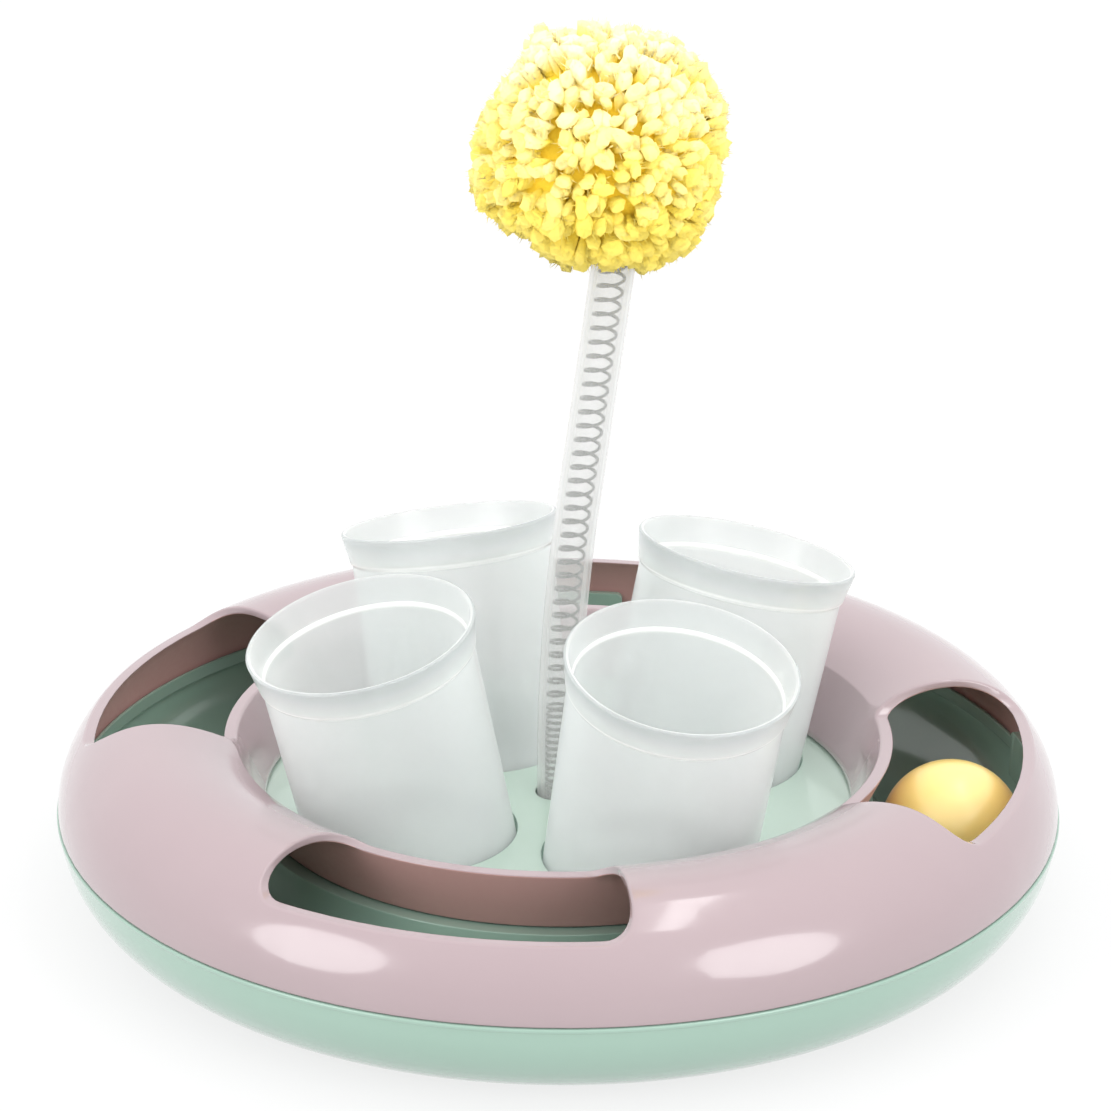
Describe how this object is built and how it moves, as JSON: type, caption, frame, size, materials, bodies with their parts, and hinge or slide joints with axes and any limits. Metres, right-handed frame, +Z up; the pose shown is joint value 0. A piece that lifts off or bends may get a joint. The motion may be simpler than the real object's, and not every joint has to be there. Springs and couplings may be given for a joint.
{
  "type": "cat ball track toy",
  "caption": "Ring-shaped ball track toy for cats with paw windows, a rolling ball, leaning snack cups in the middle basin and a pompom on a sleeved coil spring.",
  "frame": {"origin": "ring's axis at the level of the feet, the floor that the toy stands on", "axes": "+Z up along the ring's axis, +X through the middle of the right window, +Y through the middle of the back window"},
  "size_m": [0.24, 0.24, 0.2106],
  "materials": {
    "mint_shell": "glossy moulded mint plastic",
    "pink_shell": "glossy moulded dusty pink plastic",
    "frosted_cup": "frosted see-through plastic",
    "yellow_ball": "smooth satin yellow plastic",
    "spring_steel": "drawn spring wire",
    "clear_sleeve": "clear flexible tube",
    "white_plastic": "plain moulded white plastic",
    "yarn": "soft acrylic yarn",
    "binding_thread": "twisted binding thread",
    "foot_rubber": "matte anti-slip rubber"
  },
  "bodies": {
    "base": {"base_tray": "mint_shell", "track_cover": "pink_shell", "wand_plug": "white_plastic", "foot_1": "foot_rubber", "foot_2": "foot_rubber", "foot_3": "foot_rubber", "foot_4": "foot_rubber"},
    "ball": {"track_ball": "yellow_ball"},
    "cup_back_right": {"cup_back_right": "frosted_cup"},
    "cup_back_left": {"cup_back_left": "frosted_cup"},
    "cup_front_left": {"cup_front_left": "frosted_cup"},
    "cup_front_right": {"cup_front_right": "frosted_cup"},
    "wand_lower": {"wand_sleeve": "clear_sleeve", "wand_spring": "spring_steel"},
    "wand_upper": {"wand_tip": "white_plastic", "pompom_tie": "binding_thread", "pompom": "yarn"}
  },
  "joints": [
    {"name": "ball_orbit", "type": "hinge", "parent": "base", "child": "ball", "pos_m": [0, 0, 0.0236], "axis": [0, 0, 1], "continuous": true},
    {"name": "cup_back_right_lift", "type": "slide", "parent": "base", "child": "cup_back_right", "axis": [0.1651, 0.1651, 0.9724], "range_m": [0, 0.04]},
    {"name": "cup_back_left_lift", "type": "slide", "parent": "base", "child": "cup_back_left", "axis": [-0.1651, 0.1651, 0.9724], "range_m": [0, 0.04]},
    {"name": "cup_front_left_lift", "type": "slide", "parent": "base", "child": "cup_front_left", "axis": [-0.1651, -0.1651, 0.9724], "range_m": [0, 0.04]},
    {"name": "cup_front_right_lift", "type": "slide", "parent": "base", "child": "cup_front_right", "axis": [0.1651, -0.1651, 0.9724], "range_m": [0, 0.04]},
    {"name": "wand_sway_sideways", "type": "hinge", "parent": "base", "child": "wand_lower", "pos_m": [0.00018, 0.00004, 0.045], "axis": [0, 1, 0], "range_deg": [-20, 20], "stiffness_Nm_per_rad": 0.5, "deforming": ["wand_sleeve", "wand_spring"]},
    {"name": "wand_sway_fore_and_aft", "type": "hinge", "parent": "wand_lower", "child": "wand_upper", "pos_m": [0.00384, 0.00095, 0.095], "axis": [1, 0, 0], "range_deg": [-25, 25], "stiffness_Nm_per_rad": 0.35, "deforming": ["wand_sleeve", "wand_spring"]}
  ]
}
